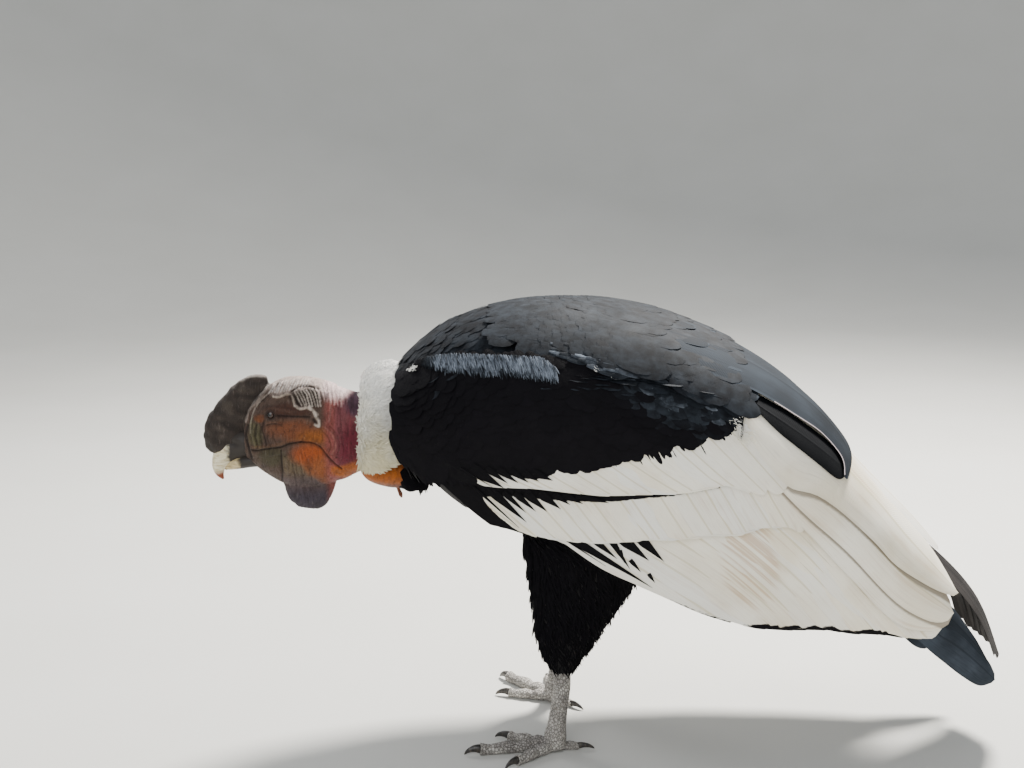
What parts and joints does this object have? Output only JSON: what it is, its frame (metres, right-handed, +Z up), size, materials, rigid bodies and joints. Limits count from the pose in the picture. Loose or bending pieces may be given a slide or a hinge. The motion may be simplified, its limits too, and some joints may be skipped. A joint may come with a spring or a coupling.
{
  "type": "andean condor",
  "caption": "Life-size adult male Andean condor standing with its head held low, fleshy comb, white neck ruff and folded black and white wings.",
  "frame": {"origin": "on the floor, midway between the front of the comb and the tip of the tail and between the outermost points of the left and right sides", "axes": "+X towards the tail, so the bird looks along -X; +Y towards its right side; +Z up"},
  "size_m": [1.0328, 0.3718, 0.5773],
  "materials": {
    "black_feather": "flesh under short black feathers, soft sheen",
    "black_feather_leg": "flesh under shaggy black feathers, matte",
    "wing_feather": "cream and black feather, matte",
    "slate_feather": "slate black feather, soft sheen",
    "down": "white down, matte",
    "neck_skin": "bare pink skin, satin",
    "head_skin": "bare wrinkled skin, satin",
    "crop_skin": "bare orange skin, satin",
    "comb": "dark pitted flesh, matte",
    "wattle": "purple grey skin, satin",
    "bill": "ivory horn with a dark base, satin",
    "eye": "dark red brown, glossy",
    "leg_skin": "pale grey scaly skin, matte",
    "claw": "dark horn, satin"
  },
  "bodies": {
    "root": {"torso": "black_feather", "wing_left": "wing_feather", "wing_right": "wing_feather", "scapulars_left": "slate_feather", "scapulars_right": "slate_feather", "tail": "slate_feather", "neck": "neck_skin", "ruff": "down", "crop": "crop_skin", "head": "head_skin", "bill_upper": "bill", "bill_lower": "bill", "comb": "comb", "wattle": "wattle", "eye_left": "eye", "eye_right": "eye", "thigh_left": "black_feather_leg", "thigh_right": "black_feather_leg", "foot_left": "leg_skin", "foot_right": "leg_skin", "claw_left_middle": "claw", "claw_left_inner": "claw", "claw_left_outer": "claw", "claw_left_hind": "claw", "claw_right_middle": "claw", "claw_right_inner": "claw", "claw_right_outer": "claw", "claw_right_hind": "claw"}
  },
  "joints": []
}
